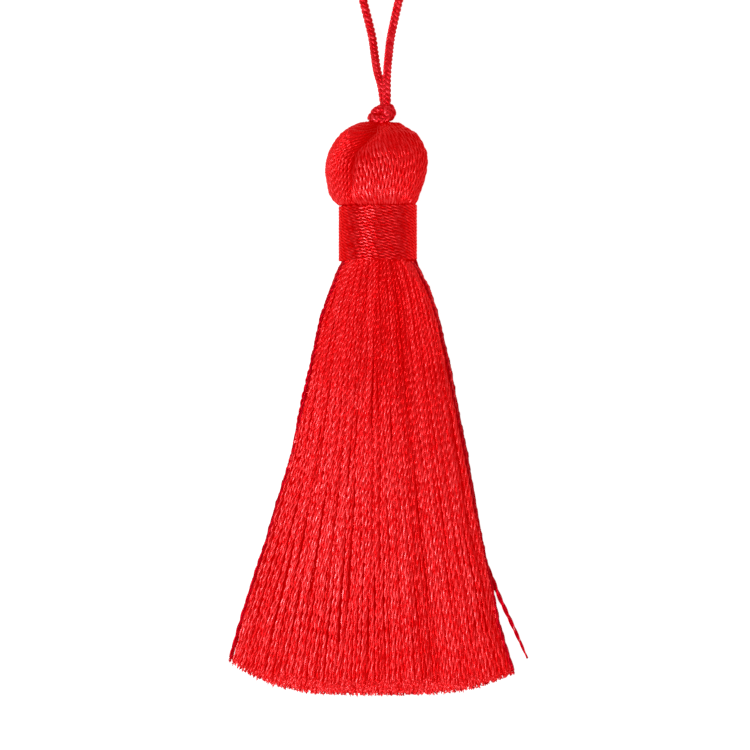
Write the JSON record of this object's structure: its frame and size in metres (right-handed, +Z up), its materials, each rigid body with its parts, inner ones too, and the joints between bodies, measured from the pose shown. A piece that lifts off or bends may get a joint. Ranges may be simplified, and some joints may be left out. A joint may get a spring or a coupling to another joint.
{
  "type": "silk tassel with hanging loop",
  "caption": "Decorative silk tassel lying flat: round yarn head, tightly wound neck, fanned fringe skirt and a knotted braided hanging loop.",
  "frame": {"origin": "on the surface under the middle of the tassel's box, measured without the hanging cord and its knot", "axes": "+Y along the tassel from its skirt to its head, +Z up from the surface that it lies on, +X to the right of a viewer who looks down with the head away from them"},
  "size_m": [0.059, 0.1741, 0.0202],
  "materials": {
    "silk_yarn": "lustrous twisted silk thread",
    "silk_wound_thread": "lustrous silk thread, wound tight",
    "silk_braid": "soft braided silk cord"
  },
  "bodies": {
    "root": {"yarn_bundle": "silk_yarn", "neck_band": "silk_wound_thread", "cord_knot": "silk_braid", "hanging_loop": "silk_braid"}
  },
  "joints": []
}
